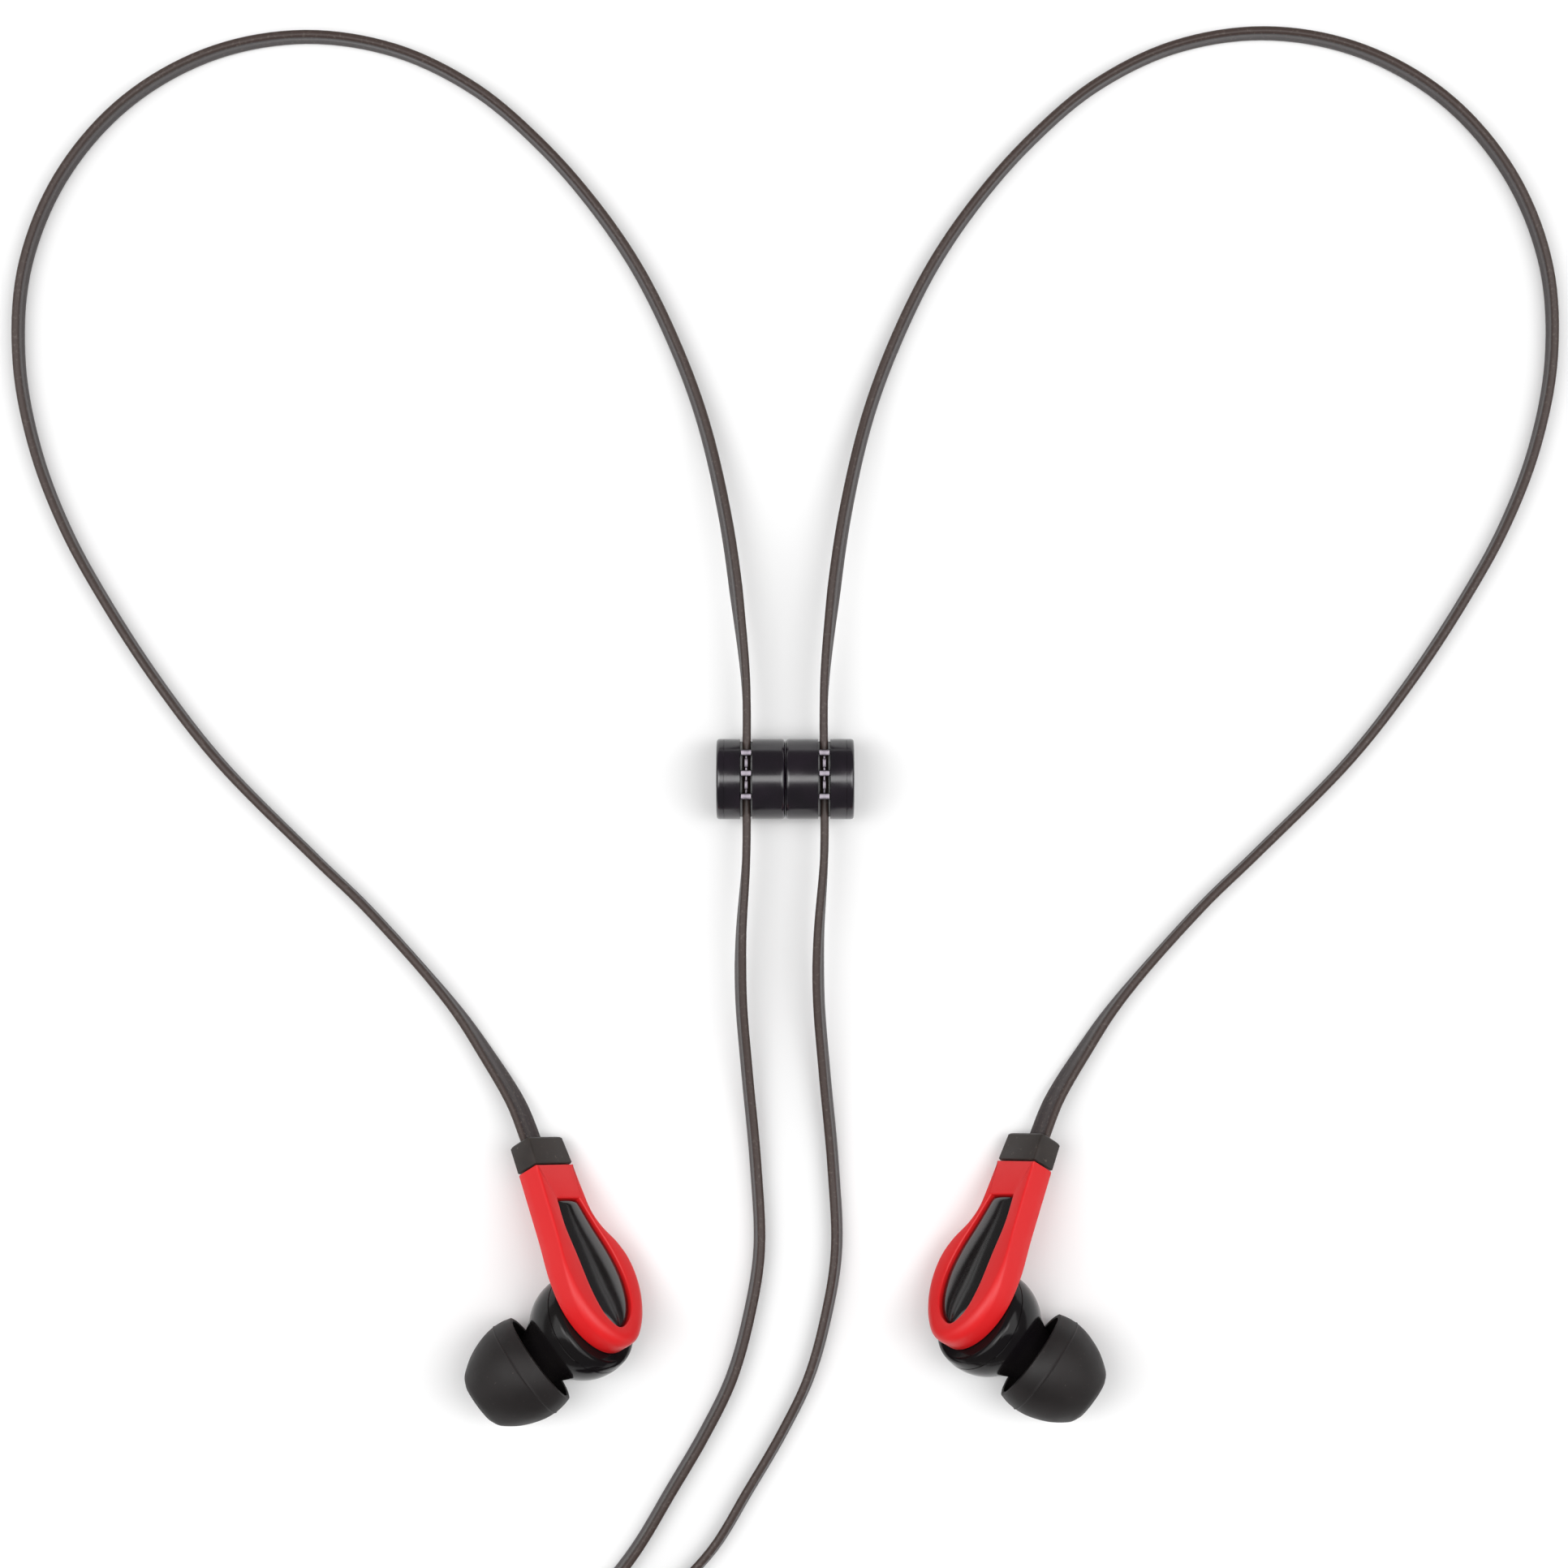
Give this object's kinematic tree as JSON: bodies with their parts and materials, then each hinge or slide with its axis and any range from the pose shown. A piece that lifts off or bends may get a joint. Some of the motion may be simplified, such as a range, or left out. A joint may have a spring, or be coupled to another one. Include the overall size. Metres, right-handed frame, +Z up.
{
  "type": "wired in-ear earphones",
  "caption": "Wired in-ear earphones: teardrop buds on a flat cable that stands on edge, magnetic cable clasps, Y split, coiled lead and straight audio plug.",
  "frame": {"origin": "on the surface the earphones lie on, under the middle of the box round the buds and clasps", "axes": "+X to the right bud, +Y from the buds towards the clasps and the tops of the cable loops, +Z up"},
  "size_m": [0.1891, 0.2534, 0.014],
  "materials": {
    "red_shell": "satin-gloss moulded red",
    "gloss_black": "polished black",
    "matte_black": "fine matte moulding",
    "soft_black": "matte soft-touch",
    "silicone": "matte silicone",
    "cable": "satin, brownish grey",
    "anodised": "satin black anodised",
    "bright_edge": "bare satin metal",
    "plug_shell": "satin black anodised",
    "steel": "fine satin",
    "magnet": "nickel-plated",
    "gold": "polished gold plate",
    "copper": "enamelled copper wire",
    "film": "thin translucent film",
    "board": "solder mask",
    "tie_strap": "woven hook-and-loop strap"
  },
  "bodies": {
    "cable_and_buds": {"left_bud_shell": "red_shell", "left_face_inlay": "gloss_black", "left_cable_relief": "soft_black", "left_driver_housing": "gloss_black", "left_nozzle": "matte_black", "left_nozzle_mesh": "steel", "left_driver_frame": "matte_black", "left_driver_yoke": "steel", "left_driver_magnet": "magnet", "left_driver_top_plate": "steel", "left_terminal_board": "board", "right_bud_shell": "red_shell", "right_face_inlay": "gloss_black", "right_cable_relief": "soft_black", "right_driver_housing": "gloss_black", "right_nozzle": "matte_black", "right_nozzle_mesh": "steel", "right_driver_frame": "matte_black", "right_driver_yoke": "steel", "right_driver_magnet": "magnet", "right_driver_top_plate": "steel", "right_terminal_board": "board", "left_strand": "cable", "right_strand": "cable", "y_split": "soft_black", "lead_start": "cable", "lead_coil": "cable", "lead_end": "cable", "coil_tie": "tie_strap", "plug_relief": "soft_black", "plug_body": "plug_shell", "jack_sleeve": "gold", "jack_spacer_rear": "matte_black", "jack_ring": "gold", "jack_spacer_front": "matte_black", "jack_tip": "gold"},
    "left_tip": {"left_ear_tip": "silicone"},
    "right_tip": {"right_ear_tip": "silicone"},
    "left_clasp": {"left_clasp_barrel": "anodised", "left_clasp_cap": "anodised", "left_clasp_magnet": "magnet", "left_cable_grip": "bright_edge"},
    "right_clasp": {"right_clasp_barrel": "anodised", "right_clasp_cap": "anodised", "right_clasp_magnet": "magnet", "right_cable_grip": "bright_edge"},
    "left_cone": {"left_diaphragm": "film", "left_voice_coil": "copper"},
    "right_cone": {"right_diaphragm": "film", "right_voice_coil": "copper"}
  },
  "joints": [
    {"name": "left_tip_pull_off", "type": "slide", "parent": "cable_and_buds", "child": "left_tip", "axis": [-0.8028, -0.5962, 0], "range_m": [0, 0.009]},
    {"name": "right_tip_pull_off", "type": "slide", "parent": "cable_and_buds", "child": "right_tip", "axis": [0.8028, -0.5962, 0], "range_m": [0, 0.009]},
    {"name": "left_clasp_slide", "type": "slide", "parent": "cable_and_buds", "child": "left_clasp", "axis": [0, 1, 0], "range_m": [-0.004, 0.004]},
    {"name": "right_clasp_slide", "type": "slide", "parent": "cable_and_buds", "child": "right_clasp", "axis": [0, 1, 0], "range_m": [-0.004, 0.004]},
    {"name": "left_cone_travel", "type": "slide", "parent": "cable_and_buds", "child": "left_cone", "axis": [-0.8028, -0.5962, 0], "range_m": [-0.0002, 0.0002], "stiffness_N_per_m": 200},
    {"name": "right_cone_travel", "type": "slide", "parent": "cable_and_buds", "child": "right_cone", "axis": [0.8028, -0.5962, 0], "range_m": [-0.0002, 0.0002], "stiffness_N_per_m": 200}
  ]
}
